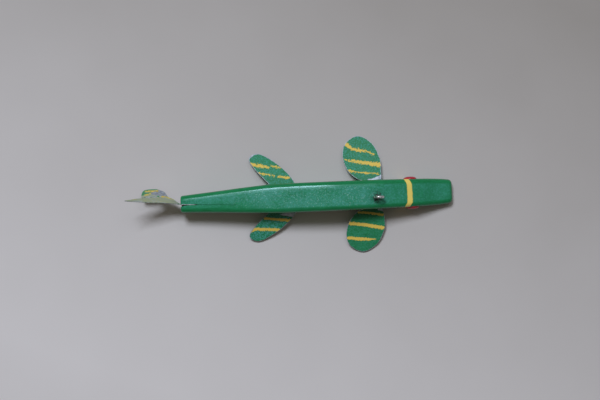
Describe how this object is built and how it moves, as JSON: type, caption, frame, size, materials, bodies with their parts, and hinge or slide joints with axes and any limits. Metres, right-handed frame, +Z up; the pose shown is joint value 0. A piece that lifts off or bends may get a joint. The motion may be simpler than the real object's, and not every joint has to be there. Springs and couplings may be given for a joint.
{
  "type": "fish spearing decoy",
  "caption": "Carved and painted wooden fish decoy for ice fishing, with sheet-metal side fins and forked tail, tack eyes, lead ballast and a screw eye as line tie.",
  "frame": {"origin": "on the flat of the belly, straight under the screw eye that is the line tie", "axes": "+X towards the snout, +Y to the fish's left side, +Z up towards the back"},
  "size_m": [0.2279, 0.084, 0.0344],
  "materials": {
    "painted_wood": "brushed gloss green paint with a yellow gill band",
    "painted_sheet": "brushed gloss green paint with yellow streaks, bare edges",
    "painted_tail_sheet": "thin worn green paint with yellow streaks over bare sheet",
    "bare_steel": "plated steel, dulled",
    "eye_enamel": "gloss red enamel",
    "lead": "dull cast lead"
  },
  "bodies": {
    "root": {"body": "painted_wood", "ballast_front": "lead", "ballast_rear": "lead", "line_tie": "bare_steel", "eye_tack_left": "eye_enamel", "eye_tack_right": "eye_enamel", "pectoral_fin_left": "painted_sheet", "pectoral_fin_right": "painted_sheet", "pelvic_fin_left": "painted_sheet", "pelvic_fin_right": "painted_sheet", "tail_fin": "painted_tail_sheet", "tail_brad_front": "bare_steel", "tail_brad_rear": "bare_steel", "pectoral_brad_left_front": "bare_steel", "pectoral_brad_left_rear": "bare_steel", "pectoral_brad_right_front": "bare_steel", "pectoral_brad_right_rear": "bare_steel", "pelvic_brad_left_front": "bare_steel", "pelvic_brad_left_rear": "bare_steel", "pelvic_brad_right_front": "bare_steel", "pelvic_brad_right_rear": "bare_steel"}
  },
  "joints": []
}
